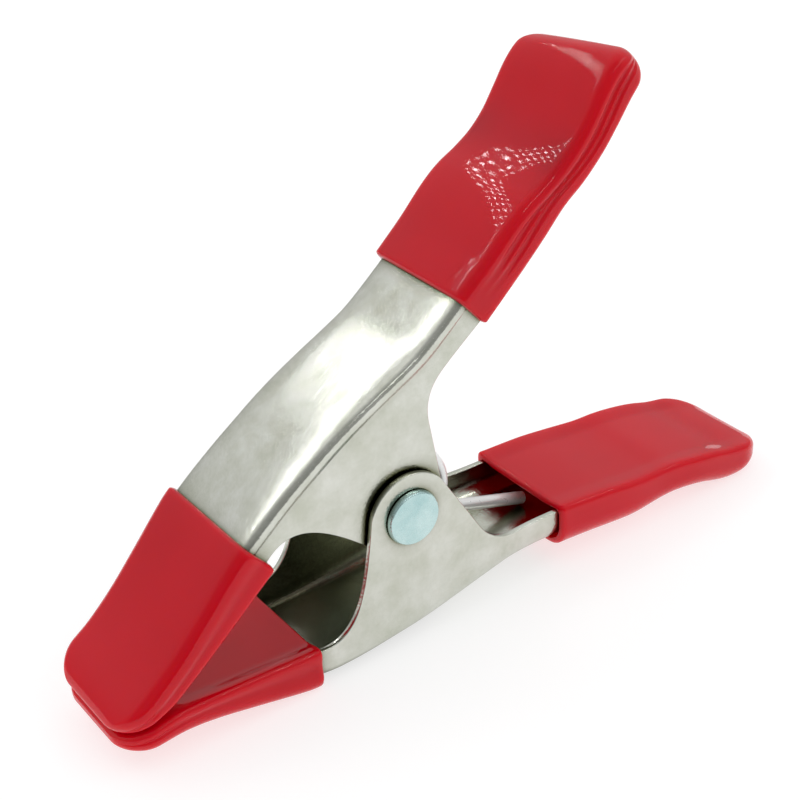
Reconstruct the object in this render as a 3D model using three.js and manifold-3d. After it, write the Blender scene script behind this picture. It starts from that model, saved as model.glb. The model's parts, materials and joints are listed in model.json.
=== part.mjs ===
// Spring clamp: two pressed sheet-steel levers on one rivet, a torsion spring, and four vinyl
// sleeves. Millimetres, +Z up, jaws towards -X, handles towards +X, standing on z = 0.
//
// Each lever is drawn in its own lever frame: u runs from the jaw tip (-) to the handle end (+),
// v is the depth from the pivot out to the web of the channel, and the pivot is at (0, 0).
import * as THREE from 'three';
import { mergeVertices } from 'three/addons/utils/BufferGeometryUtils.js';
import Module from 'manifold-3d';

const wasm = await Module();
wasm.setup();

// ---- Driving dimensions -------------------------------------------------------------------
const SHEET = 1.3; // sheet steel thickness
const GAP = 0.3; // clearance between neighbouring pieces
const JAW_ANGLE = 41.3; // angle between the two levers with the jaws shut, degrees
const REST_TILT = 2.25; // lower lever's tilt that puts heel and grip on the ground, degrees
const PIVOT_X = -15.547; // pivot axis in the part's frame
const PIVOT_Z = 30.35;

const EAR_RADIUS = 9.4; // round end of each lever's ear
const PIN_RADIUS = 3.5; // rivet shank
const HEAD_RADIUS = 6;
const HEAD_THICKNESS = 1.3;
const TAIL_RADIUS = 5.2; // peened far end of the rivet
const TAIL_THICKNESS = 1.3;

const JAW_RIM = -22.8; // u where the jaw sleeves end
const JAW_STEEL_END = -60.5;
const GRIP_RIM = 38; // u where the grips begin
const GRIP_STEEL_END = 91.5;

const WIRE_RADIUS = 1.4;
const COIL_RADIUS = 9; // mean radius of the coil
const COIL_PITCH = 3.1;
const COIL_TURNS = 3; // whole turns, besides the part turn between the legs
const COIL_START_Y = -8.4; // the upper leg's side
const LEG_REACH = 40.4; // u where each leg presses on its lever

// ---- Side profile shared by both levers: [u, value] knots ------------------------------------
const WEB_DEPTH = smooth([
  [-61, 26.5], [-50, 26.1], [-38, 27.9], [-26, 29.9], [-15, 30.0], [-3, 29.0], [4, 28.1], [12, 26.5],
  [24, 23.7], [29, 23.2], [40, 23.0], [56, 23.2], [71, 22.4], [80, 23.0], [90, 24.4], [96, 24.4],
]);
const JAW_EDGE = 23.0; // depth of the jaw's flange edge
const JAW_CHAMFER_START = -54; // from here to the tip the edge draws back by JAW_CHAMFER
const JAW_CHAMFER = 1.4;
const HANDLE_EDGE_START = 14.9; // depth of the handle's flange edge at the grip
const HANDLE_EDGE_END = 21.2; // and at the handle's end

const EAR_HALF_WIDTH = 14.25; // half the lower lever's width over its ears
const LOWER_HALF_WIDTH = smooth([
  [-60, 13.2], [-24, 13.8], [-18, EAR_HALF_WIDTH], [20, EAR_HALF_WIDTH], [33, 13.5], [70, 13.5], [96, 12.8],
]);
const UPPER_HALF_WIDTH = smooth([
  [-60, 13.2], [-24, 13.8], [-10, 13.6], [33, 13.5], [70, 13.5], [96, 12.8],
]);
const NEST = SHEET + GAP; // how far the upper flanges step in to pass inside the lower ears
const LOWER_BEND_RADIUS = smooth([[-60, 3], [-20, 3], [0, 4.5], [15, 5.5], [38, 5], [96, 4.5]]);
const UPPER_BEND_RADIUS = () => 2; // its corners are pressed sharper, as ridges above the step

// ---- Sleeves: depth of the web side, depth of the open side, and half width, along u ----------
const LOWER_NOSE = { end: -66.2, rounding: 7 };
const UPPER_NOSE = { end: -65.4, rounding: 7 };
const LOWER_GRIP_END = { end: 99.771, rounding: 8 };
const UPPER_GRIP_END = { end: 96.6, rounding: 5 };
const JAW_SKIN = {
  outer: smooth([
    [-66, 28.2], [-60, 28.2], [-53, 27.6], [-46, 28.1], [-38, 29.4], [-26, 31.4], [-22, 31.5],
  ]),
  inner: smooth([[-66, 24.6], [-60, 23.1], [-53, 21.6], [-22, 21.6]]),
  half: smooth([[-66, 14.4], [-60, 14.9], [-24, 15.4], [-22, 15.4]]),
};
const GRIP_SKIN = {
  outer: smooth([[39, 24.5], [47, 24.7], [55, 25.1], [60, 25.1], [66, 24.4], [71, 24.0], [76, 24.2],
    [80, 24.9], [85, 26.4], [89, 27.1], [93, 26.9], [98, 25.8], [101, 25.2]]),
  inner: smooth([[39, 13.7], [50, 14.2], [58, 14.9], [65, 15.3], [71, 15.3], [77, 16.0], [83, 17.0],
    [88, 18.1], [93, 18.9], [98, 19.9], [101, 20.5]]),
  half: smooth([[39, 15.1], [57, 15.5], [68, 15.0], [79, 15.2], [92, 14.6], [101, 14.2]]),
};

// ---- General helpers -----------------------------------------------------------------------
// Smooth function through knots, with a flat run beyond each end.
function smooth(knots) {
  const slope = knots.map((knot, i) => {
    const before = knots[Math.max(i - 1, 0)];
    const after = knots[Math.min(i + 1, knots.length - 1)];
    return (after[1] - before[1]) / (after[0] - before[0]);
  });
  return (u) => {
    if (u <= knots[0][0]) return knots[0][1];
    const next = knots.findIndex((knot) => knot[0] > u);
    if (next < 0) return knots[knots.length - 1][1];
    const [u0, a] = knots[next - 1];
    const [u1, b] = knots[next];
    const span = u1 - u0;
    const t = (u - u0) / span;
    const ease = t * t * (3 - 2 * t);
    const lead = t * (1 - t) * (1 - t) * slope[next - 1] * span;
    const trail = t * t * (t - 1) * slope[next] * span;
    return a + (b - a) * ease + lead + trail;
  };
}

function range(start, end, steps) {
  return Array.from({ length: steps + 1 }, (_, i) => start + ((end - start) * i) / steps);
}

// Closed solid through rings of equal length, each anticlockwise seen from +X.
function loft(rings) {
  const count = rings[0].length;
  const index = [];
  for (let r = 0; r < rings.length - 1; r += 1) {
    for (let i = 0; i < count; i += 1) {
      const a = r * count + i;
      const b = r * count + ((i + 1) % count);
      index.push(a, b, b + count, a, b + count, a + count);
    }
  }
  const lastRing = (rings.length - 1) * count;
  const flat = rings[0].map((point) => new THREE.Vector2(point.y, point.z));
  for (const [a, b, c] of THREE.ShapeUtils.triangulateShape(flat, [])) {
    index.push(c, b, a, lastRing + a, lastRing + b, lastRing + c);
  }
  const geometry = new THREE.BufferGeometry();
  geometry.setFromPoints(rings.flat());
  geometry.setIndex(index);
  return geometry;
}

function toManifold(geometry) {
  const bare = geometry.clone();
  bare.deleteAttribute('normal');
  bare.deleteAttribute('uv');
  const merged = mergeVertices(bare, 1e-4);
  return new wasm.Manifold(new wasm.Mesh({
    numProp: 3,
    vertProperties: new Float32Array(merged.attributes.position.array),
    triVerts: new Uint32Array(merged.index.array),
  }));
}

function toGeometry(manifold) {
  const mesh = manifold.getMesh();
  const geometry = new THREE.BufferGeometry();
  geometry.setAttribute('position', new THREE.BufferAttribute(mesh.vertProperties, mesh.numProp));
  geometry.setIndex(new THREE.BufferAttribute(mesh.triVerts, 1));
  geometry.computeVertexNormals();
  return geometry;
}

// Plate cut to a shape drawn in (u, -v), reaching WIDE to both sides of the middle plane.
const WIDE = 40;
function sidePlate(shape) {
  const settings = { depth: 2 * WIDE, bevelEnabled: false, curveSegments: 12 };
  const plate = new THREE.ExtrudeGeometry(shape, settings);
  plate.translate(0, 0, -WIDE);
  plate.rotateX(Math.PI / 2);
  return toManifold(plate);
}

function crossPin(radius) {
  return toManifold(new THREE.CylinderGeometry(radius, radius, 2 * WIDE, 32));
}

// ---- Levers ----------------------------------------------------------------------------------
const ARC_STEPS = 4;
const BLANK_DEPTH = 45; // flange length of the uncut channel, down past the top of the ears

// Half of a channel section from the middle of the web to the flange edge, as [y, depth below web].
function channelHalf(half, radius, step, skin) {
  const arc = range(0, Math.PI / 2, ARC_STEPS).map((angle) => [
    half - radius + (radius - skin) * Math.sin(angle),
    radius - (radius - skin) * Math.cos(angle),
  ]);
  const side = half - skin;
  return [...arc, [side, radius + 0.2], [side - step, radius + 1.8], [side - step, BLANK_DEPTH]];
}

function channelRing(u, { halfWidth, bend, step }) {
  const outer = channelHalf(halfWidth(u), bend(u), step(u), 0);
  const inner = channelHalf(halfWidth(u), bend(u), step(u), SHEET).reverse();
  const right = [...outer, ...inner];
  const left = right.map(([y, depth]) => [-y, depth]).reverse();
  return [...right, ...left].map(([y, depth]) => new THREE.Vector3(u, y, depth - WEB_DEPTH(u)));
}

// Side outline of a lever: everything outside its flange edge.
function leverOutline() {
  const earSide = THREE.MathUtils.degToRad(32.3); // where the straight back edge leaves the ear
  const earFront = THREE.MathUtils.degToRad(174.5);
  const shape = new THREE.Shape();
  shape.moveTo(JAW_STEEL_END, -WIDE);
  shape.lineTo(GRIP_STEEL_END, -WIDE);
  shape.lineTo(GRIP_STEEL_END, -HANDLE_EDGE_END);
  shape.lineTo(GRIP_RIM, -HANDLE_EDGE_START);
  shape.lineTo(26.5, -HANDLE_EDGE_START);
  shape.quadraticCurveTo(20.2, -HANDLE_EDGE_START, 16.9, -9.6);
  shape.lineTo(EAR_RADIUS * Math.cos(earSide), EAR_RADIUS * Math.sin(earSide));
  shape.absarc(0, 0, EAR_RADIUS, earSide, earFront, false);
  shape.bezierCurveTo(-11.2, -13, -13, -JAW_EDGE, JAW_RIM + 0.4, -JAW_EDGE);
  shape.lineTo(JAW_CHAMFER_START, -JAW_EDGE);
  shape.lineTo(JAW_STEEL_END, -JAW_EDGE - JAW_CHAMFER);
  return shape;
}

function lever(profile) {
  const stations = [
    ...range(JAW_STEEL_END - 1, -25, 5),
    ...range(-21, 37, 13),
    ...range(41, GRIP_STEEL_END + 1, 11),
  ];
  const blank = toManifold(loft(stations.map((u) => channelRing(u, profile))));
  return blank.intersect(sidePlate(leverOutline())).subtract(crossPin(PIN_RADIUS + GAP));
}

// How far the upper lever's flanges step in: enough to pass inside the lower ears around the
// pivot, none at the sleeves.
function nestStep(u) {
  const share = smooth([[-26, 0.25], [-15, 1], [27, 1], [40, 0.2]]);
  return share(u) * (UPPER_HALF_WIDTH(u) - EAR_HALF_WIDTH + NEST);
}

const LOWER_PROFILE = { halfWidth: LOWER_HALF_WIDTH, bend: LOWER_BEND_RADIUS, step: () => 0 };
const UPPER_PROFILE = { halfWidth: UPPER_HALF_WIDTH, bend: UPPER_BEND_RADIUS, step: nestStep };

// ---- Vinyl sleeves ---------------------------------------------------------------------------
const CORNER_STEPS = 4;
const POCKET_CORNERS = [2.6, 0.3];

// Rounded rectangle between two depths, as a ring at station u. Its corners are rounded by
// one radius on the web side and by another on the open side of the channel.
function boxRing(u, outer, inner, half, [webCorner, openCorner]) {
  const middle = (outer + inner) / 2;
  const tall = (outer - inner) / 2;
  const ring = [];
  for (let quarter = 0; quarter < 4; quarter += 1) {
    const sideY = quarter === 0 || quarter === 3 ? 1 : -1;
    const sideZ = quarter < 2 ? 1 : -1;
    const round = Math.min(sideZ > 0 ? openCorner : webCorner, tall * 0.98);
    for (const angle of range(quarter * 90, quarter * 90 + 90, CORNER_STEPS)) {
      const turn = THREE.MathUtils.degToRad(angle);
      const y = sideY * (half - round) + round * Math.cos(turn);
      const z = sideZ * (tall - round) + round * Math.sin(turn);
      ring.push(new THREE.Vector3(u, y, z - middle));
    }
  }
  return ring;
}

// Stations from a sleeve's rim to its rounded end, with how far each ring shrinks there.
function sleeveStations(rim, end, rounding, steps) {
  const towards = Math.sign(end - rim);
  const straight = range(rim, end - towards * rounding, steps).map((u) => ({ u, shrink: 0 }));
  const dome = [25, 50, 70, 90].map((degrees) => {
    const angle = THREE.MathUtils.degToRad(degrees);
    const u = end - towards * rounding * (1 - Math.sin(angle));
    return { u, shrink: 1 - Math.cos(angle) };
  });
  return [...straight, ...dome];
}

// A sleeve's outside: thin is the share of its depth that the rounded end takes away.
function sleeve(skin, rim, { end, rounding }, { thin, corners, steps }) {
  const rings = sleeveStations(rim, end, rounding, steps).map(({ u, shrink }) => {
    const pinch = (shrink * thin * (skin.outer(u) - skin.inner(u))) / 2;
    const half = skin.half(u) - shrink * rounding;
    return boxRing(u, skin.outer(u) - pinch, skin.inner(u) + pinch, half, corners);
  });
  return toManifold(loft(end < rim ? rings.reverse() : rings));
}

// Hollow of a sleeve: the steel lever's envelope with the gap all round it, open at the rim.
function pocket(rim, end, halfWidth, edge, steps) {
  const rings = range(Math.min(rim, end), Math.max(rim, end), steps).map((u) => (
    boxRing(u, WEB_DEPTH(u) + GAP, edge(u) - GAP, halfWidth(u) + GAP, POCKET_CORNERS)
  ));
  return toManifold(loft(rings));
}

function jawSleeve(halfWidth, nose) {
  const skin = sleeve(JAW_SKIN, JAW_RIM, nose, { thin: 0.7, corners: [3.2, 1.6], steps: 9 });
  const slant = JAW_CHAMFER / (JAW_CHAMFER_START - JAW_STEEL_END);
  const edge = (u) => JAW_EDGE + Math.max(0, JAW_CHAMFER_START - u) * slant;
  return skin.subtract(pocket(JAW_RIM + 1, JAW_STEEL_END - GAP, halfWidth, edge, 8));
}

function gripSleeve(halfWidth, end) {
  const skin = sleeve(GRIP_SKIN, GRIP_RIM, end, { thin: 0.75, corners: [4.2, 2.2], steps: 15 });
  const taper = (HANDLE_EDGE_END - HANDLE_EDGE_START) / (GRIP_STEEL_END - GRIP_RIM);
  const edge = (u) => HANDLE_EDGE_START + (u - GRIP_RIM) * taper;
  return skin.subtract(pocket(GRIP_RIM - 1, GRIP_STEEL_END + GAP, halfWidth, edge, 14));
}

// ---- Rivet -----------------------------------------------------------------------------------
// Turned about Y: flat round head on the near side, peened button on the far side.
function rivet() {
  const near = -(EAR_HALF_WIDTH + GAP);
  const far = EAR_HALF_WIDTH + GAP;
  const face = near - HEAD_THICKNESS;
  const profile = [
    [0, face], [HEAD_RADIUS - 0.5, face], [HEAD_RADIUS - 0.1, face + 0.2], [HEAD_RADIUS, face + 0.6],
    [HEAD_RADIUS, near], [PIN_RADIUS, near], [PIN_RADIUS, far], [TAIL_RADIUS, far],
    [TAIL_RADIUS, far + 0.4], [TAIL_RADIUS - 0.6, far + 0.9], [TAIL_RADIUS - 1.8, far + TAIL_THICKNESS],
    [0, far + TAIL_THICKNESS],
  ];
  return new THREE.LatheGeometry(profile.map(([r, y]) => new THREE.Vector2(r, y)), 36);
}

// ---- Torsion spring --------------------------------------------------------------------------
// A straight leg from the coil to a tip: its direction, its length, and the angle on the coil
// where it leaves. Side is -1 for a leg off the bottom of the coil and 1 for one off the top.
function springLeg(center, tip, side) {
  const reach = tip.clone().sub(center);
  const direction = Math.atan2(reach.y, reach.x) - side * Math.asin(COIL_RADIUS / reach.length());
  const length = Math.sqrt(reach.lengthSq() - COIL_RADIUS ** 2);
  return { direction, length, leaves: direction + (side * Math.PI) / 2 };
}

// In the lower lever's frame (x = u, z = -v). The coil hangs on the rivet, pushed away from the
// jaws by its own legs, so its middle sits straight behind the rivet.
function springPath() {
  const jaw = THREE.MathUtils.degToRad(JAW_ANGLE);
  const center = new THREE.Vector2(COIL_RADIUS - WIRE_RADIUS - PIN_RADIUS - GAP, 0);
  const floor = WEB_DEPTH(LEG_REACH) - SHEET - GAP - WIRE_RADIUS;
  const lowerTip = new THREE.Vector2(LEG_REACH, -floor);
  const upperTip = new THREE.Vector2(LEG_REACH, floor).rotateAround(new THREE.Vector2(), jaw);
  const lowerLeg = springLeg(center, lowerTip, -1);
  const upperLeg = springLeg(center, upperTip, 1);
  const wrap = lowerLeg.leaves + 2 * Math.PI - upperLeg.leaves + 2 * Math.PI * COIL_TURNS;

  const coilPoint = (turn) => new THREE.Vector3(
    center.x + COIL_RADIUS * Math.cos(upperLeg.leaves + turn),
    COIL_START_Y + (COIL_PITCH * turn) / (2 * Math.PI),
    center.y + COIL_RADIUS * Math.sin(upperLeg.leaves + turn),
  );
  const legEnd = (start, { direction, length }) => start.clone().add(
    new THREE.Vector3(Math.cos(direction), 0, Math.sin(direction)).multiplyScalar(length),
  );
  class Coil extends THREE.Curve {
    getPoint(t, target = new THREE.Vector3()) {
      return target.copy(coilPoint(t * wrap));
    }
  }
  const path = new THREE.CurvePath();
  path.add(new THREE.LineCurve3(legEnd(coilPoint(0), upperLeg), coilPoint(0)));
  path.add(new Coil());
  path.add(new THREE.LineCurve3(coilPoint(wrap), legEnd(coilPoint(wrap), lowerLeg)));
  return path;
}

function spring() {
  const wire = new THREE.Shape();
  wire.absarc(0, 0, WIRE_RADIUS, 0, 2 * Math.PI, false);
  return new THREE.ExtrudeGeometry(wire, { extrudePath: springPath(), steps: 96, curveSegments: 4 });
}

// ---- Assembly --------------------------------------------------------------------------------
const steel = () => new THREE.MeshStandardMaterial({ color: 0xc5c8c0, roughness: 0.35, metalness: 0.9 });
const zinc = () => new THREE.MeshStandardMaterial({ color: 0xbad2d6, roughness: 0.3, metalness: 0.8 });
const vinyl = () => new THREE.MeshStandardMaterial({ color: 0xc21c26, roughness: 0.25, metalness: 0 });

function piece(name, geometry, material) {
  const mesh = new THREE.Mesh(geometry, material);
  mesh.name = name;
  return mesh;
}

// Ground plane in the lower lever's frame, a little above the deepest points, to cut the flats.
function aboveGround() {
  const block = new THREE.BoxGeometry(400, 200, 200);
  block.translate(0, 0, 100 - PIVOT_Z);
  block.rotateY(THREE.MathUtils.degToRad(-REST_TILT));
  return toManifold(block);
}

const lower = new THREE.Group();
const upright = aboveGround();
const lowerJaw = jawSleeve(LOWER_HALF_WIDTH, LOWER_NOSE).intersect(upright);
const lowerGrip = gripSleeve(LOWER_HALF_WIDTH, LOWER_GRIP_END).intersect(upright);
lower.add(piece('lower_lever', toGeometry(lever(LOWER_PROFILE)), steel()));
lower.add(piece('lower_jaw_sleeve', toGeometry(lowerJaw), vinyl()));
lower.add(piece('lower_grip', toGeometry(lowerGrip), vinyl()));
lower.add(piece('pivot_rivet', rivet(), zinc()));
lower.add(piece('torsion_spring', spring(), zinc()));

// The upper lever is the same pressing turned over and swung up by the jaw angle.
const upper = new THREE.Group();
upper.rotation.set(Math.PI, 0, 0);
upper.add(piece('upper_lever', toGeometry(lever(UPPER_PROFILE)), steel()));
upper.add(piece('upper_jaw_sleeve', toGeometry(jawSleeve(UPPER_HALF_WIDTH, UPPER_NOSE)), vinyl()));
upper.add(piece('upper_grip', toGeometry(gripSleeve(UPPER_HALF_WIDTH, UPPER_GRIP_END)), vinyl()));
const swung = new THREE.Group();
swung.rotation.y = THREE.MathUtils.degToRad(-JAW_ANGLE);
swung.add(upper);

const clamp = new THREE.Group();
clamp.add(lower, swung);
clamp.rotation.y = THREE.MathUtils.degToRad(REST_TILT);
clamp.position.set(PIVOT_X, 0, PIVOT_Z);

export default clamp;
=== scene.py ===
import json
import math

import bmesh
import bpy
import numpy as np
from mathutils import Matrix, Vector


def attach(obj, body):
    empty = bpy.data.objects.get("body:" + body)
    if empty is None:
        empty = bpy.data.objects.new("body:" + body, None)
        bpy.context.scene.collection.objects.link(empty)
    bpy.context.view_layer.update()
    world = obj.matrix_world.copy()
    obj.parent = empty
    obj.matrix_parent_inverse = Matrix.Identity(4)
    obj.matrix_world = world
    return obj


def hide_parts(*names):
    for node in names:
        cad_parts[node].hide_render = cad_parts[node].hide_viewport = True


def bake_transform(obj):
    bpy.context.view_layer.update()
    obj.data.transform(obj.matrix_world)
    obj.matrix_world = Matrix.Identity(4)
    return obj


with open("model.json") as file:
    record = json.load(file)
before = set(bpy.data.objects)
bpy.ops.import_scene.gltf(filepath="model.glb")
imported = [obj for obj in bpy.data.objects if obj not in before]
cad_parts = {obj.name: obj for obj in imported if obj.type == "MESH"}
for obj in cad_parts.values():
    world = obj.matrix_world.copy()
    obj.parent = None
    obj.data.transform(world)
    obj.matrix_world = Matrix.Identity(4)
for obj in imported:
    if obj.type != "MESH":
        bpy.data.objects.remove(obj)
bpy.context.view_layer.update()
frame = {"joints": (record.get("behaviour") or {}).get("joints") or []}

MM = 0.001
PIVOT = np.array(frame["joints"][0]["pos_m"]) / MM

# ---- Dimensions, in millimetres, as the CAD has them ---------------------------------------------
SHEET = 1.3
JAW_ANGLE = math.radians(41.3)
REST_TILT = math.radians(2.25)
EAR_RADIUS = 9.4
EAR_HALF_WIDTH = 14.25
NEST = SHEET + 0.3
PIN_RADIUS = 3.5
PIN_HOLE_RADIUS = 3.8

JAW_RIM = -22.8
JAW_STEEL_END = -60.5
GRIP_RIM = 38.0
GRIP_STEEL_END = 91.5

WIRE_RADIUS = 1.4
COIL_RADIUS = 9.0
COIL_PITCH = 3.1
COIL_TURNS = 3
COIL_START_Y = -8.4
LEG_REACH = 40.4


# ---- Curves --------------------------------------------------------------------------------------
REACH_IN_SIGMAS = 2.6


def smooth(knots):
    """Smooth function through knots, with a flat run beyond each end. It takes arrays."""
    x = np.array([k[0] for k in knots], float)
    y = np.array([k[1] for k in knots], float)
    here = np.arange(len(x))
    before, after = np.maximum(here - 1, 0), np.minimum(here + 1, len(x) - 1)
    slope = (y[after] - y[before]) / (x[after] - x[before])

    def at(u):
        u = np.clip(np.asarray(u, float), x[0], x[-1])
        i = np.clip(np.searchsorted(x, u, side="right") - 1, 0, len(x) - 2)
        span = x[i + 1] - x[i]
        t = (u - x[i]) / span
        ease = t * t * (3 - 2 * t)
        lead = t * (1 - t) ** 2 * slope[i] * span
        trail = t * t * (t - 1) * slope[i + 1] * span
        return y[i] + (y[i + 1] - y[i]) * ease + lead + trail

    return at


def bezier(controls, steps):
    """Points at even steps along the curve that the control points pull."""
    t = np.linspace(0, 1, steps)[:, None]
    rows = [np.array(control, float) for control in controls]
    while len(rows) > 1:
        rows = [(1 - t) * a + t * b for a, b in zip(rows, rows[1:])]
    return rows[0]


def between(u, start, stop):
    """Share of the way from start to stop, held at 0 and 1 outside them."""
    return min(1, max(0, (u - start) / (stop - start)))


def softened(values, reach):
    """Moving Gaussian mean of a rising row of numbers that keeps its two ends."""
    lead = 2 * values[0] - values[reach:0:-1]
    trail = 2 * values[-1] - values[-2:-reach - 2:-1]
    row = np.concatenate([lead, values, trail])
    sigma = reach / REACH_IN_SIGMAS
    weight = np.exp(-0.5 * (np.arange(-reach, reach + 1) / sigma) ** 2)
    return np.convolve(row, weight / weight.sum(), "valid")[:len(values)]


# ---- Profiles along a lever ----------------------------------------------------------------------
# u runs from the pivot, negative to the jaw and positive to the handle. Depth runs from the pivot
# towards the web, y across the lever. Half is half the width.
WEB_DEPTH = smooth([
    (-61, 26.5), (-50, 26.1), (-38, 27.9), (-26, 29.9), (-15, 30.0), (-3, 29.0), (4, 28.1),
    (12, 26.5), (24, 23.7), (29, 23.2), (40, 23.0), (56, 23.2), (71, 22.4), (80, 23.0), (90, 24.4),
    (96, 24.4)])
LOWER_HALF = smooth([
    (-60, 13.2), (-24, 13.8), (-18, 14.25), (20, 14.25), (33, 13.5), (70, 13.5), (96, 12.8)])
UPPER_HALF = smooth([(-60, 13.2), (-24, 13.8), (-10, 13.6), (33, 13.5), (70, 13.5), (96, 12.8)])
NEST_SHARE = smooth([(-26, 0.25), (-15, 1), (27, 1), (40, 0.2)])

LOWER_JAW_OUTER = smooth([
    (-66, 28.2), (-60, 28.2), (-53, 27.6), (-46, 28.1), (-38, 29.4), (-26, 31.4), (-22, 31.5)])
UPPER_JAW_OUTER = smooth([
    (-66, 28.2), (-60, 28.3), (-53, 28.0), (-46, 28.3), (-38, 29.3), (-26, 31.0), (-22, 31.1)])
JAW_INNER = smooth([(-66, 24.6), (-60, 23.1), (-53, 21.6), (-22, 21.6)])
JAW_HALF = smooth([(-66, 14.4), (-60, 14.9), (-24, 15.4), (-22, 15.4)])
JAW_SAG = smooth([(-58, 0.1), (-50, 0.9), (-36, 1.6), (-27, 1.5), (-22, 0.9)])

LOWER_GRIP_OUTER = smooth([
    (39, 24.5), (47, 24.7), (55, 25.1), (60, 25.1), (66, 24.4), (71, 24.0), (76, 24.2), (80, 24.9),
    (85, 26.4), (89, 27.1), (93, 26.9), (98, 25.8), (101, 25.2)])
LOWER_GRIP_INNER = smooth([
    (39, 13.4), (50, 13.9), (58, 14.7), (65, 15.2), (71, 15.3), (77, 16.0), (83, 17.0), (88, 18.2),
    (93, 18.9), (98, 19.6), (101, 20.2)])
LOWER_GRIP_HALF = smooth([
    (39, 15.1), (57, 15.5), (68, 15.0), (79, 15.2), (92, 14.6), (101, 14.2)])
LOWER_GRIP_SAG = smooth([(38, 0.4), (60, 0.5), (82, 0.6), (90, 0.5), (98, 0.2)])

UPPER_GRIP_OUTER = smooth([
    (39, 24.25), (47, 24.35), (55, 24.9), (60, 24.75), (65, 23.85), (70, 23.35), (75, 23.7),
    (80, 24.9), (85, 26.4), (89, 27.1), (93, 26.9), (98, 25.8), (101, 25.2)])
UPPER_GRIP_INNER = smooth([
    (39, 14.2), (50, 14.7), (58, 15.2), (65, 15.6), (71, 15.3), (77, 15.9), (83, 17.0), (88, 18.0),
    (93, 18.6), (98, 19.6), (101, 20.2)])
UPPER_GRIP_HALF = smooth([
    (39, 14.85), (57, 15.15), (68, 14.85), (79, 15.2), (92, 14.6), (101, 14.2)])
UPPER_GRIP_SAG = smooth([(38, 0.5), (60, 0.7), (86, 0.4), (96, 0)])


# ---- From a lever's (u, y, depth) in millimetres to the scene in metres --------------------------
def turn_y(points, angle):
    c, s = math.cos(angle), math.sin(angle)
    x, y, z = points[:, 0], points[:, 1], points[:, 2]
    return np.stack([x * c + z * s, y, -x * s + z * c], axis=1)


def lower_place(u, y, depth):
    points = np.stack([u, y, -np.asarray(depth)], axis=1)
    return (turn_y(points, REST_TILT) + PIVOT) * MM


def upper_place(u, y, depth):
    points = np.stack([u, -np.asarray(y), np.asarray(depth)], axis=1)
    return (turn_y(points, REST_TILT - JAW_ANGLE) + PIVOT) * MM


# ---- Mesh helpers --------------------------------------------------------------------------------
def new_object(name, points, faces, material):
    mesh = bpy.data.meshes.new(name)
    mesh.from_pydata([tuple(p) for p in points], [], faces)
    mesh.validate()
    mesh.shade_smooth()
    mesh.materials.append(material)
    obj = bpy.data.objects.new(name, mesh)
    bpy.context.scene.collection.objects.link(obj)
    outward(obj)
    return obj


def outward(obj):
    bm = bmesh.new()
    bm.from_mesh(obj.data)
    bmesh.ops.recalc_face_normals(bm, faces=bm.faces)
    bm.to_mesh(obj.data)
    bm.free()


def tube(ring_count, count):
    """Quads between neighbouring rings of count points each."""
    faces = []
    for r in range(ring_count - 1):
        for i in range(count):
            a, b = r * count + i, r * count + (i + 1) % count
            faces.append((a, b, b + count, a + count))
    return faces


def skin(rings):
    """Points and faces of a tube of rings, with a fan over each end."""
    count = len(rings[0])
    points = [p for ring in rings for p in ring]
    faces = tube(len(rings), count)
    for base in (0, (len(rings) - 1) * count):
        points.append(np.mean(points[base:base + count], axis=0))
        centre = len(points) - 1
        faces += [(base + i, base + (i + 1) % count, centre) for i in range(count)]
    return points, faces


def apply_modifiers(obj):
    graph = bpy.context.evaluated_depsgraph_get()
    mesh = bpy.data.meshes.new_from_object(obj.evaluated_get(graph), depsgraph=graph)
    obj.modifiers.clear()
    obj.data = mesh


# ---- Levers --------------------------------------------------------------------------------------
# Depth of the flange's free edge along the jaw, at the jaw's tip and along the handle.
JAW_EDGE = 23.0
JAW_TIP_EDGE = 24.4
JAW_TIP_SLOPE_END = -54
HANDLE_EDGE_START = 14.9
HANDLE_EDGE_END = 21.2
# Where the round ear starts and stops, and the curves that lead into it and away from it.
EAR_FRONT, EAR_BACK = math.radians(174.5), math.radians(32.3)
THROAT_CONTROLS = ((-13, JAW_EDGE), (-11.2, 13))
HEEL_CONTROLS = ((16.9, 9.6), (20.2, HANDLE_EDGE_START), (26.5, HANDLE_EDGE_START))
THROAT_STEPS, EAR_STEPS, HEEL_STEPS = 60, 80, 30
OUTLINE_STEPS = 260
OUTLINE_SOFTENING = 26

# Radii of the bend from web to flange, of the crease under it and of the sheet's cut edge.
LOWER_BEND = smooth([(-60, 3), (-20, 3), (0, 4.5), (15, 5.5), (38, 5), (96, 4.5)])
UPPER_BEND = 1.8
LEAST_BEND = 0.4
BEND_SHARE = 0.8  # the most of the web's height above the edge that the bend may take
CREASE_RADIUS = 1.8
CUT_ROUND = 0.22
# How far the web falls from its middle to its corners.
LOWER_CROWN = 0.1
UPPER_CROWN = smooth([(-24, 0.3), (0, 0.34), (20, 0.4), (38, 0.4)])
CROWN_POWER = 6
WEB_POINTS, BEND_POINTS, CREASE_POINTS, FLANGE_ROWS, CUT_STEPS = 17, 14, 8, 34, 3
FLANGE_CROWDING = 1.5  # above 1, the flange's rows lie closer together next to the crease
HOLE_SEGMENTS = 64
DRILL_LENGTH = 80
HOLE_SHARP_ANGLE = math.radians(35)


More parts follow.
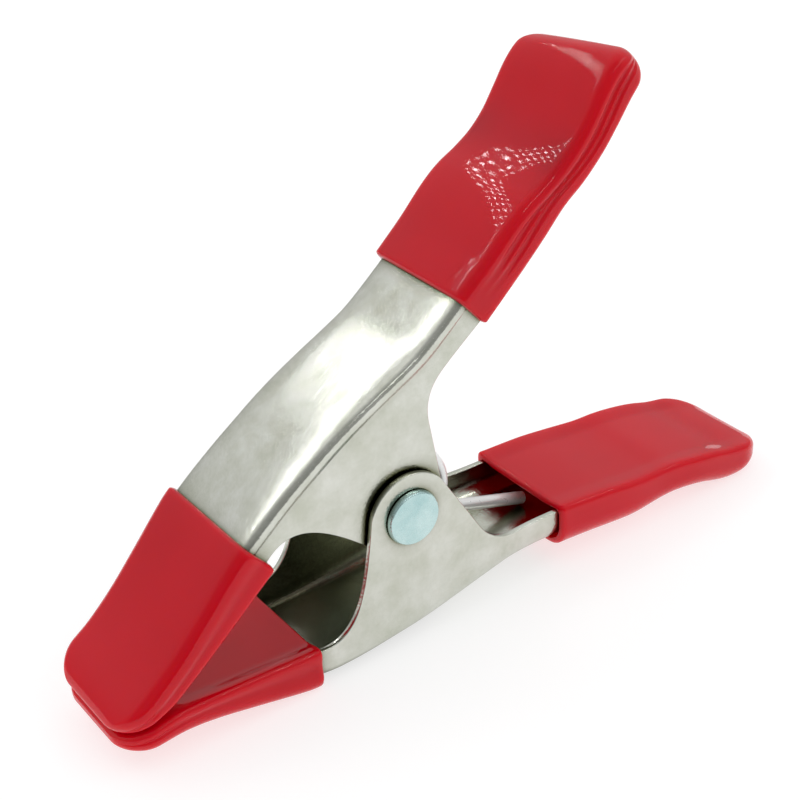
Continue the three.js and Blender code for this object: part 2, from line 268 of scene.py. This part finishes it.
def lever_outline():
    """The flange edge from jaw tip to handle end, as (u, depth) points at even steps."""
    ear_front = EAR_RADIUS * np.array([math.cos(EAR_FRONT), -math.sin(EAR_FRONT)])
    throat = bezier(((JAW_RIM + 0.4, JAW_EDGE), *THROAT_CONTROLS, ear_front), THROAT_STEPS)
    angle = np.linspace(EAR_FRONT, EAR_BACK, EAR_STEPS)[1:, None]
    ear = EAR_RADIUS * np.concatenate([np.cos(angle), -np.sin(angle)], axis=1)
    path = np.concatenate([
        [[JAW_STEEL_END, JAW_TIP_EDGE], [JAW_TIP_SLOPE_END, JAW_EDGE]],
        throat, ear, bezier(HEEL_CONTROLS, HEEL_STEPS),
        [[GRIP_RIM, HANDLE_EDGE_START], [GRIP_STEEL_END, HANDLE_EDGE_END]]])
    run = np.concatenate([[0], np.cumsum(np.linalg.norm(np.diff(path, axis=0), axis=1))])
    even = np.linspace(0, run[-1], OUTLINE_STEPS)
    return np.stack([np.interp(even, run, path[:, 0]), np.interp(even, run, path[:, 1])], axis=1)


def half_section(half, bend, step, crown):
    """Outside of the sheet from the middle of the web to the top of the flange, as (y, depth below
    the web, and the outward normal in those two). The crease carries the flange in by step."""
    turn = math.acos(1 - step / (bend + CREASE_RADIUS))
    rows = []
    flat = half - bend
    tilt = math.atan(CROWN_POWER * crown / flat)
    reach = flat + bend * math.sin(tilt)
    tilt = math.atan(CROWN_POWER * crown / reach)
    for share in np.linspace(0, 1, WEB_POINTS):
        slope = math.tan(tilt) * share ** (CROWN_POWER - 1)
        length = math.hypot(1, slope)
        rows.append((reach * share, crown * share ** CROWN_POWER, slope / length, -1 / length))
    base = crown - bend * (1 - math.cos(tilt))
    for angle in np.linspace(tilt, math.pi / 2 + turn, BEND_POINTS)[1:]:
        s, c = math.sin(angle), math.cos(angle)
        rows.append((flat + bend * s, base + bend * (1 - c), s, -c))
    centre_y = flat + (bend + CREASE_RADIUS) * math.cos(turn)
    centre_d = base + bend + (bend + CREASE_RADIUS) * math.sin(turn)
    for angle in np.linspace(turn, 0, CREASE_POINTS)[1:]:
        s, c = math.sin(angle), math.cos(angle)
        rows.append((centre_y - CREASE_RADIUS * c, centre_d - CREASE_RADIUS * s, c, s))
    return rows


def cut_edge(at, toward, y):
    """Rounded free edge of the flange at (u, depth), from its outside at y to its inside. Toward
    points from the edge into the sheet."""
    quarter = np.linspace(0, math.pi / 2, CUT_STEPS + 1)[1:]
    points = []
    for side, sign, angles in ((y - CUT_ROUND, 1, quarter),
                               (y - SHEET + CUT_ROUND, -1, quarter[::-1])):
        for a in angles:
            u, depth = at + toward * CUT_ROUND * (1 - math.sin(a))
            points.append((u, side + sign * CUT_ROUND * math.cos(a), depth))
    return points


def lever(name, place, half_of, step_of, bend_of, crown_of, material):
    """U channel of sheet steel with two ears, built of sections across it along its outline."""
    outline = lever_outline()
    tangent = np.gradient(outline, axis=0)
    tangent /= np.linalg.norm(tangent, axis=1)[:, None]
    inward = np.stack([-tangent[:, 1], tangent[:, 0]], axis=1)
    web_u = softened(outline[:, 0], OUTLINE_SOFTENING)
    rings = []
    for edge, toward, w in zip(outline, inward, web_u):
        web = float(WEB_DEPTH(w))
        bend = min(bend_of(w), max(LEAST_BEND, BEND_SHARE * (web - edge[1])))
        outer, inner = [], []
        for y, below, ny, nd in half_section(float(half_of(w)), bend, step_of(w), crown_of(w)):
            outer.append((w, y, web - below))
            inner.append((w, y - SHEET * ny, web - below + SHEET * nd))
        start = np.array([w, outer[-1][2]])
        stop = edge + toward * CUT_ROUND
        for share in (np.arange(1, FLANGE_ROWS + 1) / FLANGE_ROWS) ** FLANGE_CROWDING:
            u, depth = start + (stop - start) * share
            y = float(half_of(u)) - step_of(u)
            outer.append((u, y, depth))
            inner.append((u, y - SHEET, depth))
        right = outer + cut_edge(edge, toward, outer[-1][1]) + inner[::-1]
        left = [(u, -y, depth) for u, y, depth in right[::-1]]
        rings.append(np.array(right + left[1:-1]))
    count = len(rings[0])
    flat = np.concatenate(rings)
    points = place(flat[:, 0], flat[:, 1], flat[:, 2])
    last = (len(rings) - 1) * count
    faces = tube(len(rings), count) + [tuple(range(count)), tuple(range(last, last + count))]
    obj = new_object(name, points, faces, material)
    drill(obj)
    return obj


def drill(obj):
    """Cuts the rivet's hole through both ears."""
    bpy.ops.mesh.primitive_cylinder_add(
        vertices=HOLE_SEGMENTS, radius=PIN_HOLE_RADIUS * MM, depth=DRILL_LENGTH * MM,
        location=tuple(PIVOT * MM), rotation=(math.pi / 2, 0, 0))
    tool = bpy.context.object
    cut = obj.modifiers.new("hole", "BOOLEAN")
    cut.operation, cut.object, cut.solver = "DIFFERENCE", tool, "EXACT"
    apply_modifiers(obj)
    bpy.data.objects.remove(tool)
    obj.data.set_sharp_from_angle(angle=HOLE_SHARP_ANGLE)


# ---- Vinyl sleeves -------------------------------------------------------------------------------
CORNER_POINTS, WEB_STEPS, SIDE_STEPS, FILM_STEPS = 9, 22, 19, 30
CORNER_LIMIT = 0.48  # the most of the section's height that a corner may take
CROWN_FULLNESS = 2.5
SAG_SHOULDER = 0.34  # the share of the half width over which the film sinks to its full depth

# Sides of the upper grip: two grooves between three crests. The crests' places are given among the
# side's steps and as shares of the way down it. The lower two wander along the grip.
CREST_STEPS = (0, 0.4, 0.75)
CREST_SHARES = (0, 0.34, 0.68)
WANDER, WANDER_PHASE, WANDER_LENGTH = 0.07, 44, 4.6
WANDER_OF_CREST = (0, 1, 1.2)
GROOVE_DEPTHS = (0.5, 0.42)
GROOVE_START, GROOVE_FULL, GROOVE_FADE, GROOVE_END = 42, 52, 87, 95

# The rolled rim: its length, how far it turns in, and the small radius inside it.
LIP = 0.7
LIP_INSET = 1.2
LIP_INNER_ROUND = 0.2
FILM = LIP_INSET + LIP_INNER_ROUND
POCKET_ROOM = 0.12
POCKET_END_ROOM = 0.3
POCKET_OPEN_ROUND = 1.0
SLANT_START, SLANT_END = 74.0, 95.0

# A sleeve's rings: sizes of those that close its end, degrees round the end, round the rim and
# round the small radius inside it, and shares of the way down the pocket.
CAP_SCALES = (0.25, 0.5, 0.75)
END_DEGREES = np.linspace(90, 0, 14)
RIM_DEGREES = (20, 40, 60, 75, 90)
MOUTH_DEGREES = (30, 60)
POCKET_SHARES = (0, 0.06, 0.2, 0.5, 0.8, 1)


def eased(share):
    t = min(1.0, share / SAG_SHOULDER)
    return t * t * (3 - 2 * t)


def section(outer, inner, half, web_round, open_round, side, sag, crown):
    """Rounded rectangle between two depths as (y, depth) points: crowned on the web side, drawn in
    along its sides, and sagging on the open side. side(step) gives the share of the way down and
    how far the side is drawn in there."""
    limit = CORNER_LIMIT * (outer - inner)
    web_round, open_round = min(web_round, limit), min(open_round, limit)
    points = []

    def corner(cy, cd, radius, start):
        for angle in np.linspace(start, start + 90, CORNER_POINTS):
            a = math.radians(angle)
            points.append([cy + radius * math.cos(a), cd + radius * math.sin(a)])

    def edge(a, b, steps, form):
        a, b = np.array(a), np.array(b)
        for step in np.linspace(0, 1, steps + 2)[1:-1]:
            share, across, down = form(step)
            points.append(list(a + (b - a) * share + np.array([across, down])))

    flat_web, flat_open = half - web_round, half - open_round
    corner(flat_web, outer - web_round, web_round, 0)
    edge((flat_web, outer), (-flat_web, outer), WEB_STEPS,
         lambda s: (s, 0, crown * (1 - abs(2 * s - 1) ** CROWN_FULLNESS)))
    corner(-flat_web, outer - web_round, web_round, 90)
    edge((-half, outer - web_round), (-half, inner + open_round), SIDE_STEPS,
         lambda s: (side(s)[0], side(s)[1], 0))
    corner(-flat_open, inner + open_round, open_round, 180)
    edge((-flat_open, inner), (flat_open, inner), FILM_STEPS,
         lambda s: (s, 0, sag * eased(1 - abs(2 * s - 1))))
    corner(flat_open, inner + open_round, open_round, 270)
    edge((half, inner + open_round), (half, outer - web_round), SIDE_STEPS,
         lambda s: (1 - side(1 - s)[0], -side(1 - s)[1], 0))
    return np.array(points)


def flat_side(step, u):
    return step, 0.0


def soft_hollow(depth):
    return lambda step, u: (step, depth * math.sin(math.pi * step) ** 2)


def fluted(step, u):
    """Two scooped grooves under the web's corner, with a flat run below them."""
    wander = WANDER * math.sin((u - WANDER_PHASE) / WANDER_LENGTH)
    crests = [share + part * wander for share, part in zip(CREST_SHARES, WANDER_OF_CREST)]
    if step >= CREST_STEPS[2]:
        rest = (step - CREST_STEPS[2]) / (1 - CREST_STEPS[2])
        return crests[2] + (1 - crests[2]) * rest, 0.0
    i = 0 if step < CREST_STEPS[1] else 1
    across = (step - CREST_STEPS[i]) / (CREST_STEPS[i + 1] - CREST_STEPS[i])
    fade = between(u, GROOVE_START, GROOVE_FULL) * between(u, GROOVE_END, GROOVE_FADE)
    return (crests[i] + (crests[i + 1] - crests[i]) * across,
            fade * GROOVE_DEPTHS[i] * math.sin(math.pi * across))


def sleeve(name, place, shape, material):
    """Dipped skin over a lever's end: rounded end, outside, rolled rim, inside."""
    rim, end, rounding = shape["rim"], shape["end"], shape["rounding"]
    toward = math.copysign(1, end - rim)
    rings = []

    def ring(u, shrink, inset):
        """Section at u. Shrink runs from 0 to 1 over the rounded end, inset is the rim's."""
        outer, inner = float(shape["outer"](u)), float(shape["inner"](u))
        pinch = shrink * shape["thin"] * (outer - inner) / 2
        half = float(shape["half"](u)) - shrink * rounding - inset
        fade = 1 - shrink

        def side(step):
            share, drawn_in = shape["side"](step, u)
            return share, drawn_in * fade

        return section(outer - pinch - inset, inner + pinch + inset, half, shape["web_round"],
                       shape["open_round"], side, float(shape["sag"](u)) * fade,
                       shape["crown"] * fade)

    def add(u, flat, scale=1.0):
        slant = shape["slant"] * between(u, SLANT_START, SLANT_END)
        if scale != 1:
            centre = flat.mean(axis=0)
            flat = centre + (flat - centre) * scale
        rings.append(place(u + slant * flat[:, 0], flat[:, 0], flat[:, 1]))

    for scale in CAP_SCALES:
        add(end, ring(end, 1, 0), scale)
    for degrees in END_DEGREES:
        a = math.radians(degrees)
        u = end - toward * rounding * (1 - math.sin(a))
        add(u, ring(u, 1 - math.cos(a), 0))
    for u in np.linspace(end - toward * rounding, rim + toward * LIP, shape["steps"])[1:]:
        add(u, ring(u, 0, 0))
    for degrees in RIM_DEGREES:
        a = math.radians(degrees)
        u = rim + toward * LIP * (1 - math.sin(a))
        add(u, ring(u, 0, LIP_INSET * (1 - math.cos(a))))
    for degrees in MOUTH_DEGREES:
        a = math.radians(degrees)
        u = rim + toward * LIP_INNER_ROUND * (1 - math.cos(a))
        add(u, ring(u, 0, LIP_INSET + LIP_INNER_ROUND * math.sin(a)))
    mouth = rim + toward * LIP_INNER_ROUND
    for share in POCKET_SHARES:
        u = mouth + (shape["pocket_end"] - mouth) * share
        add(u, pocket(u, shape))
    add(shape["pocket_end"], pocket(shape["pocket_end"], shape), 0.5)
    points, faces = skin(rings)
    for point in points:
        point[2] = max(point[2], 0)  # nothing reaches below the ground the clamp lies on
    return new_object(name, points, faces, material)


def pocket(u, shape):
    """Section of the sleeve's inside: the steel all round with a hair of room."""
    return section(float(WEB_DEPTH(u)) + POCKET_ROOM, float(shape["inner"](u)) + FILM,
                   float(shape["steel_half"](u)) + POCKET_ROOM, shape["pocket_round"],
                   POCKET_OPEN_ROUND, lambda step: flat_side(step, u), float(shape["sag"](u)), 0)


# ---- Rivet ---------------------------------------------------------------------------------------
HEAD_HEIGHT = 1.3
HEAD_ROOM = 0.3
RIVET_SEGMENTS = 96
RIVET_SHARP_ANGLE = math.radians(50)


def turned(name, profile, material):
    """Solid of revolution about the pivot axis. The profile is (radius, y) from axis to axis."""
    rings = []
    angles = np.linspace(0, 2 * math.pi, RIVET_SEGMENTS, endpoint=False)
    for radius, y in profile:
        across, up = radius * np.cos(angles), radius * np.sin(angles)
        rings.append((np.stack([across, np.full(RIVET_SEGMENTS, y), up], axis=1) + PIVOT) * MM)
    points, faces = skin(rings)
    obj = new_object(name, points, faces, material)
    obj.data.set_sharp_from_angle(angle=RIVET_SHARP_ANGLE)
    return obj


def arc(cr, cy, radius, start, stop, steps):
    """Points of a profile round a centre, between two angles in degrees."""
    for degrees in np.linspace(start, stop, steps):
        a = math.radians(degrees)
        yield (cr + radius * math.cos(a), cy + radius * math.sin(a))


def rivet(material):
    """Near head flat with a rounded rim, straight pin, far head low and domed."""
    near, far = -(EAR_HALF_WIDTH + HEAD_ROOM), EAR_HALF_WIDTH + HEAD_ROOM
    face, dome = near - HEAD_HEIGHT, far + HEAD_HEIGHT
    profile = [
        (0.4, face), (2.5, face), (4.6, face + 0.01), (5.2, face + 0.04),
        *arc(5.35, face + 0.42, 0.38, -85, -10, 6),
        (5.95, near - 0.35), (5.9, near - 0.08), (5.7, near), (4.4, near), (PIN_RADIUS, near),
        (PIN_RADIUS, near + 3), (PIN_RADIUS, far - 3),
        (PIN_RADIUS, far), (5.0, far), (5.2, far + 0.15),
        *arc(4.3, far + 0.35, 0.9, -5, 78, 7),
        (3.2, dome - 0.02), (1.6, dome), (0.4, dome)]
    return turned("rivet", profile, material)


# ---- Torsion spring ------------------------------------------------------------------------------
WIRE_BEVEL = 0.18
WIRE_SEGMENTS = 28
WIRE_SHARP_ANGLE = math.radians(40)
SPRING_ROOM = 0.3
COIL_STEPS, LEG_STEPS = 300, 40


def spring_leg(centre, tip, side):
    """Direction and length of a straight leg from the coil to its tip, and the angle on the coil
    where it leaves. Side is -1 off the bottom of the coil and 1 off the top."""
    reach = tip - centre
    distance = np.linalg.norm(reach)
    direction = math.atan2(reach[1], reach[0]) - side * math.asin(COIL_RADIUS / distance)
    return direction, math.sqrt(distance ** 2 - COIL_RADIUS ** 2), direction + side * math.pi / 2


def spring_path():
    """Centre line in the lower lever's frame: upper leg, coil, lower leg."""
    centre = np.array([COIL_RADIUS - WIRE_RADIUS - PIN_RADIUS - SPRING_ROOM, 0])
    floor = float(WEB_DEPTH(LEG_REACH)) - SHEET - SPRING_ROOM - WIRE_RADIUS
    c, s = math.cos(JAW_ANGLE), math.sin(JAW_ANGLE)
    lower_tip = np.array([LEG_REACH, -floor])
    upper_tip = np.array([LEG_REACH * c - floor * s, LEG_REACH * s + floor * c])
    lower_angle, lower_length, leave_lower = spring_leg(centre, lower_tip, -1)
    upper_angle, upper_length, leave_upper = spring_leg(centre, upper_tip, 1)
    wrap = leave_lower + 2 * math.pi - leave_upper + 2 * math.pi * COIL_TURNS
    turns = np.linspace(0, wrap, COIL_STEPS)
    coil = np.stack([
        centre[0] + COIL_RADIUS * np.cos(leave_upper + turns),
        COIL_START_Y + COIL_PITCH * turns / (2 * math.pi),
        centre[1] + COIL_RADIUS * np.sin(leave_upper + turns)], axis=1)

    def straight(start, angle, lengths):
        return start + np.outer(lengths, [math.cos(angle), 0, math.sin(angle)])

    upper_leg = straight(coil[0], upper_angle, np.linspace(upper_length, 0, LEG_STEPS)[:-1])
    lower_leg = straight(coil[-1], lower_angle, np.linspace(0, lower_length, LEG_STEPS)[1:])
    return np.concatenate([upper_leg, coil, lower_leg])


def wire(name, path, radius, material):
    """Round wire along a path, with bevelled ends."""
    tangent = np.gradient(path, axis=0)
    tangent /= np.linalg.norm(tangent, axis=1)[:, None]
    side = np.array([0.0, 1.0, 0.0])
    angles = np.linspace(0, 2 * math.pi, WIRE_SEGMENTS, endpoint=False)

    def ring(centre, direction, size):
        across = side - direction * (side @ direction)
        across /= np.linalg.norm(across)
        up = np.cross(direction, across)
        circle = np.outer(np.cos(angles), across) + np.outer(np.sin(angles), up)
        return centre + size * circle

    first, last = tangent[0], tangent[-1]
    rings = [
        ring(path[0], first, radius * 0.5), ring(path[0], first, radius - WIRE_BEVEL),
        ring(path[0] + first * WIRE_BEVEL, first, radius)]
    rings += [ring(p, t, radius) for p, t in zip(path[1:-1], tangent[1:-1])]
    rings += [
        ring(path[-1] - last * WIRE_BEVEL, last, radius),
        ring(path[-1], last, radius - WIRE_BEVEL), ring(path[-1], last, radius * 0.5)]
    points, faces = skin([lower_place(r[:, 0], r[:, 1], -r[:, 2]) for r in rings])
    obj = new_object(name, points, faces, material)
    obj.data.set_sharp_from_angle(angle=WIRE_SHARP_ANGLE)
    return obj


# ---- Materials -----------------------------------------------------------------------------------
def shader(name):
    material = bpy.data.materials.new(name)
    material.use_nodes = True
    tree = material.node_tree
    return material, tree, tree.nodes["Principled BSDF"]


def noise(tree, scale, detail, roughness=0.55):
    coords = tree.nodes.new("ShaderNodeTexCoord")
    texture = tree.nodes.new("ShaderNodeTexNoise")
    texture.inputs["Scale"].default_value = scale
    texture.inputs["Detail"].default_value = detail
    texture.inputs["Roughness"].default_value = roughness
    tree.links.new(coords.outputs["Object"], texture.inputs["Vector"])
    return texture.outputs["Fac"]


def ramp(tree, value, stops):
    node = tree.nodes.new("ShaderNodeValToRGB")
    elements = node.color_ramp.elements
    while len(elements) < len(stops):
        elements.new(0.5)
    for element, (position, color) in zip(elements, stops):
        element.position = position
        element.color = (*color, 1)
    tree.links.new(value, node.inputs["Fac"])
    return node.outputs["Color"]


def grey(value):
    return (value, value, value)


def bump(tree, surface, layers):
    """Chains bump layers of (height socket, strength, distance) into the shader's normal."""
    normal = None
    for height, strength, distance in layers:
        node = tree.nodes.new("ShaderNodeBump")
        node.inputs["Strength"].default_value = strength
        node.inputs["Distance"].default_value = distance
        tree.links.new(height, node.inputs["Height"])
        if normal is not None:
            tree.links.new(normal, node.inputs["Normal"])
        normal = node.outputs["Normal"]
    tree.links.new(normal, surface.inputs["Normal"])


def paint_occlusion_shade(tree, reach, stops):
    """Painted shade: a darkening tint by how much of the view from a point is shut off within
    reach, in metres.
    """
    node = tree.nodes.new("ShaderNodeAmbientOcclusion")
    node.samples = 8
    node.inputs["Distance"].default_value = reach
    return ramp(tree, node.outputs["AO"], stops)


def multiply(tree, first, second):
    node = tree.nodes.new("ShaderNodeMix")
    node.data_type, node.blend_type = "RGBA", "MULTIPLY"
    node.inputs["Factor"].default_value = 1.0
    tree.links.new(first, node.inputs["A"])
    tree.links.new(second, node.inputs["B"])
    return node.outputs["Result"]


# Noise textures, as scale per metre, detail and, where given, roughness.
ZINC_CLOUDS, ZINC_GLOSS, ZINC_GRAIN = (130, 8, 0.68), (1100, 4, 0.7), (2200, 3)
ZINC_GRAIN_HEIGHT = 0.00006
VINYL_TONE, VINYL_GLOSS, VINYL_RIPPLE, VINYL_PORES = (30, 2), (120, 3), (75, 1), (900, 2)
VINYL_RIPPLE_HEIGHT, VINYL_PORE_HEIGHT = 0.0008, 0.00004


def zinc_steel(name, dark, light, rough_low, rough_high, grain, painted_shades=(), metallic=1.0):
    """Zinc plating: faint clouds of tone, patches of gloss, and a fine crystal sparkle, with
    painted shade in the hollows where layers of it are given.
    """
    material, tree, surface = shader(name)
    surface.inputs["Metallic"].default_value = metallic
    color = ramp(tree, noise(tree, *ZINC_CLOUDS), [(0.32, dark), (0.68, light)])
    # Painted shade: each layer darkens the colour where nearby parts shut off the view.
    for reach, stops in painted_shades:
        color = multiply(tree, color, paint_occlusion_shade(tree, reach, stops))
    tree.links.new(color, surface.inputs["Base Color"])
    gloss = ramp(tree, noise(tree, *ZINC_GLOSS), [
        (0.3, grey(rough_low)), (0.7, grey(rough_high))])
    tree.links.new(gloss, surface.inputs["Roughness"])
    bump(tree, surface, [(noise(tree, *ZINC_GRAIN), grain, ZINC_GRAIN_HEIGHT)])
    return material


def red_vinyl():
    """Dipped vinyl: even deep red under a glossy skin that ripples a little."""
    material, tree, surface = shader("red_vinyl")
    tone = ramp(tree, noise(tree, *VINYL_TONE), [
        (0.35, (0.61, 0.0006, 0.010)), (0.65, (0.66, 0.0014, 0.013))])
    tree.links.new(tone, surface.inputs["Base Color"])
    gloss = ramp(tree, noise(tree, *VINYL_GLOSS), [(0.3, grey(0.03)), (0.7, grey(0.06))])
    tree.links.new(gloss, surface.inputs["Roughness"])
    surface.inputs["Specular IOR Level"].default_value = 0.28
    surface.inputs["Subsurface Weight"].default_value = 0.7
    surface.inputs["Subsurface Radius"].default_value = (1.0, 0.05, 0.05)
    surface.inputs["Subsurface Scale"].default_value = 0.005
    bump(tree, surface, [
        (noise(tree, *VINYL_RIPPLE), 0.1, VINYL_RIPPLE_HEIGHT),
        (noise(tree, *VINYL_PORES), 0.08, VINYL_PORE_HEIGHT),
    ])
    return material


# Painted shade on the steel down in the channels, and in the narrow gaps between the parts: a
# darker olive tint where the view is shut off.
CHANNEL_SHADE = (0.07, [(0.1, (0.40, 0.41, 0.29)), (0.34, grey(1.0))])
CREVICE_SHADE = (0.0035, [(0.55, (0.22, 0.22, 0.12)), (0.96, grey(1.0))])
STEEL = zinc_steel("zinc_plated_sheet", (0.53, 0.545, 0.465), (0.67, 0.68, 0.625), 0.06, 0.22,
                   0.7, painted_shades=(CHANNEL_SHADE, CREVICE_SHADE))
WIRE = zinc_steel("bright_spring_wire", (0.90, 0.93, 0.92), (0.97, 0.98, 0.97), 0.27, 0.3,
                  0.1, metallic=0.4)
RIVET = zinc_steel("blue_zinc_rivet", (0.40, 0.60, 0.60), (0.58, 0.75, 0.74), 0.18, 0.36, 0.4)
VINYL = red_vinyl()


# ---- The clamp -----------------------------------------------------------------------------------
def no_step(u):
    return 0.0


def nest_step(u):
    return float(NEST_SHARE(u)) * (float(UPPER_HALF(u)) - EAR_HALF_WIDTH + NEST)


def jaw_shape(end, outer, steel_half, pocket_round):
    return {
        "rim": JAW_RIM, "end": end, "rounding": 7.0, "thin": 0.7, "steps": 44, "slant": 0,
        "outer": outer, "inner": JAW_INNER, "half": JAW_HALF, "sag": JAW_SAG, "crown": 0.25,
        "web_round": 3.0, "open_round": 1.2, "side": soft_hollow(0.25),
        "steel_half": steel_half, "pocket_end": JAW_STEEL_END - POCKET_END_ROOM,
        "pocket_round": pocket_round}


LOWER_GRIP = {
    "rim": GRIP_RIM, "end": 99.76, "rounding": 8.0, "thin": 0.75, "steps": 70, "slant": 0,
    "outer": LOWER_GRIP_OUTER, "inner": LOWER_GRIP_INNER, "half": LOWER_GRIP_HALF,
    "sag": LOWER_GRIP_SAG, "crown": 0.2, "web_round": 5.2, "open_round": 1.3, "side": flat_side,
    "steel_half": LOWER_HALF, "pocket_end": GRIP_STEEL_END + POCKET_END_ROOM,
    "pocket_round": 4.8}

UPPER_GRIP = {
    "rim": GRIP_RIM, "end": 94.78, "rounding": 4.5, "thin": 0.75, "steps": 70, "slant": 0.14,
    "outer": UPPER_GRIP_OUTER, "inner": UPPER_GRIP_INNER, "half": UPPER_GRIP_HALF,
    "sag": UPPER_GRIP_SAG, "crown": 0.45, "web_round": 2.6, "open_round": 1.5, "side": fluted,
    "steel_half": UPPER_HALF, "pocket_end": GRIP_STEEL_END + POCKET_END_ROOM,
    "pocket_round": 1.6}


def build():
    lower_jaw = jaw_shape(-66.2, LOWER_JAW_OUTER, LOWER_HALF, 2.6)
    upper_jaw = jaw_shape(-65.3, UPPER_JAW_OUTER, UPPER_HALF, 1.6)
    pieces = [
        (lever("lower_channel", lower_place, LOWER_HALF, no_step, lambda u: float(LOWER_BEND(u)),
               lambda u: LOWER_CROWN, STEEL), "lower", "lower_lever", "lever_steel"),
        (lever("upper_channel", upper_place, UPPER_HALF, nest_step, lambda u: UPPER_BEND,
               lambda u: float(UPPER_CROWN(u)), STEEL), "upper", "upper_lever", "lever_steel"),
        (sleeve("lower_jaw_tip", lower_place, lower_jaw, VINYL),
         "lower", "lower_jaw_sleeve", "vinyl"),
        (sleeve("upper_jaw_tip", upper_place, upper_jaw, VINYL),
         "upper", "upper_jaw_sleeve", "vinyl"),
        (sleeve("lower_handle_grip", lower_place, LOWER_GRIP, VINYL),
         "lower", "lower_grip", "vinyl"),
        (sleeve("upper_handle_grip", upper_place, UPPER_GRIP, VINYL),
         "upper", "upper_grip", "vinyl"),
        (rivet(RIVET), "lower", "pivot_rivet", "rivet_zinc"),
    ]
    for obj, body, node, slot in pieces:
        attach(obj, body)
        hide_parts(node)
    spring = wire("spring", spring_path(), WIRE_RADIUS, WIRE)
    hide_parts("torsion_spring")
    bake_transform(spring)


# ---- Stage ---------------------------------------------------------------------------------------
FRAME_PIXELS = 800.0
FOCAL_PIXELS = 1750.0
SENSOR_WIDTH = 36.0
CAMERA_AT = (-0.169042, -0.253387, 0.225863)
CAMERA_AZIMUTH, CAMERA_ELEVATION, CAMERA_ROLL = -32.6413, 30.7275, -4.8585
FLOOR_SIZE = 12
LAMP_AIM = Vector((0, 0, 0.05))
LED_EDGE, LED_BRIGHT, LED_DARK = (0.16, 0.20), 24.0, 0.1
BEHIND_CAMERA = (-0.51, -0.68, 0.53)


def camera():
    a, e, r = (math.radians(v) for v in (CAMERA_AZIMUTH, CAMERA_ELEVATION, CAMERA_ROLL))
    back = Vector((math.sin(a) * math.cos(e), -math.cos(a) * math.cos(e), math.sin(e)))
    right = (-back).cross(Vector((0, 0, 1))).normalized()
    up = right.cross(-back)
    across = math.cos(r) * right + math.sin(r) * up
    above = -math.sin(r) * right + math.cos(r) * up
    turn = Matrix((across, above, back)).transposed().to_4x4()
    data = bpy.data.cameras.new("camera")
    data.sensor_width = SENSOR_WIDTH
    data.lens = SENSOR_WIDTH * FOCAL_PIXELS / FRAME_PIXELS
    data.clip_start, data.clip_end = 0.01, 20.0
    obj = bpy.data.objects.new("camera", data)
    bpy.context.scene.collection.objects.link(obj)
    obj.matrix_world = Matrix.Translation(CAMERA_AT) @ turn
    bpy.context.scene.camera = obj


def lamp_bar(name, azimuth, elevation, distance, length, height, radiance):
    """A long lamp seen from the object at an azimuth (from +Y towards +X) and elevation."""
    a, e = math.radians(azimuth), math.radians(elevation)
    away = Vector((math.sin(a) * math.cos(e), math.cos(a) * math.cos(e), math.sin(e)))
    data = bpy.data.lights.new(name, "AREA")
    data.shape = "RECTANGLE"
    data.size, data.size_y = length, height
    data.energy = math.pi * length * height * radiance
    obj = bpy.data.objects.new(name, data)
    obj.location = LAMP_AIM + away * distance
    obj.rotation_euler = away.to_track_quat("Z", "Y").to_euler()
    bpy.context.scene.collection.objects.link(obj)
    return data


def led_rows(data, along, rows):
    """Turns a lamp into rows of small round sources, as LED strips are."""
    data.use_nodes = True
    tree = data.node_tree
    emission = next(node for node in tree.nodes if node.type == "EMISSION")
    place = tree.nodes.new("ShaderNodeNewGeometry")
    mapping = tree.nodes.new("ShaderNodeMapping")
    mapping.inputs["Scale"].default_value = (along, rows, 1)
    cells = tree.nodes.new("ShaderNodeTexVoronoi")
    cells.voronoi_dimensions = "2D"
    cells.inputs["Scale"].default_value = 1.0
    cells.inputs["Randomness"].default_value = 0.0
    tree.links.new(place.outputs["Parametric"], mapping.inputs["Vector"])
    tree.links.new(mapping.outputs["Vector"], cells.inputs["Vector"])
    glow = ramp(tree, cells.outputs["Distance"], [
        (LED_EDGE[0], grey(LED_BRIGHT)), (LED_EDGE[1], grey(LED_DARK))])
    tree.links.new(glow, emission.inputs["Color"])


def soft_room():
    """Pale room light: brighter overhead, dimmer behind the camera."""
    world = bpy.data.worlds.new("studio")
    world.use_nodes = True
    tree = world.node_tree
    background = tree.nodes["Background"]
    coords = tree.nodes.new("ShaderNodeTexCoord")
    split = tree.nodes.new("ShaderNodeSeparateXYZ")
    tree.links.new(coords.outputs["Generated"], split.inputs["Vector"])
    sky = ramp(tree, split.outputs["Z"], [(0.0, grey(0.4)), (0.35, grey(0.72)), (0.8, grey(1.0))])
    behind = tree.nodes.new("ShaderNodeVectorMath")
    behind.operation = "DOT_PRODUCT"
    behind.inputs[1].default_value = BEHIND_CAMERA
    tree.links.new(coords.outputs["Generated"], behind.inputs[0])
    room = ramp(tree, behind.outputs["Value"], [(0.55, grey(1.0)), (0.9, grey(0.45))])
    tree.links.new(multiply(tree, sky, room), background.inputs["Color"])
    background.inputs["Strength"].default_value = 0.95
    bpy.context.scene.world = world


def paper_floor():
    bpy.ops.mesh.primitive_plane_add(size=FLOOR_SIZE, location=(0, 0, 0))
    floor = bpy.context.object
    floor.name = "floor"
    paper, _, surface = shader("paper")
    surface.inputs["Base Color"].default_value = (0.4, 0.4, 0.4, 1)
    surface.inputs["Roughness"].default_value = 0.9
    surface.inputs["Emission Color"].default_value = (1, 1, 1, 1)
    surface.inputs["Emission Strength"].default_value = 0.7
    floor.data.materials.append(paper)


def studio():
    soft_room()
    rear = lamp_bar("rear_bar", -26, 46.2, distance=1.5, length=1.15, height=0.16, radiance=1.15)
    led_rows(rear, 15, 3)
    lamp_bar("front_bar", 150, 48, distance=1.4, length=1.6, height=0.05, radiance=9)
    paper_floor()
    bpy.context.scene.view_settings.view_transform = "Standard"


camera()
build()
studio()
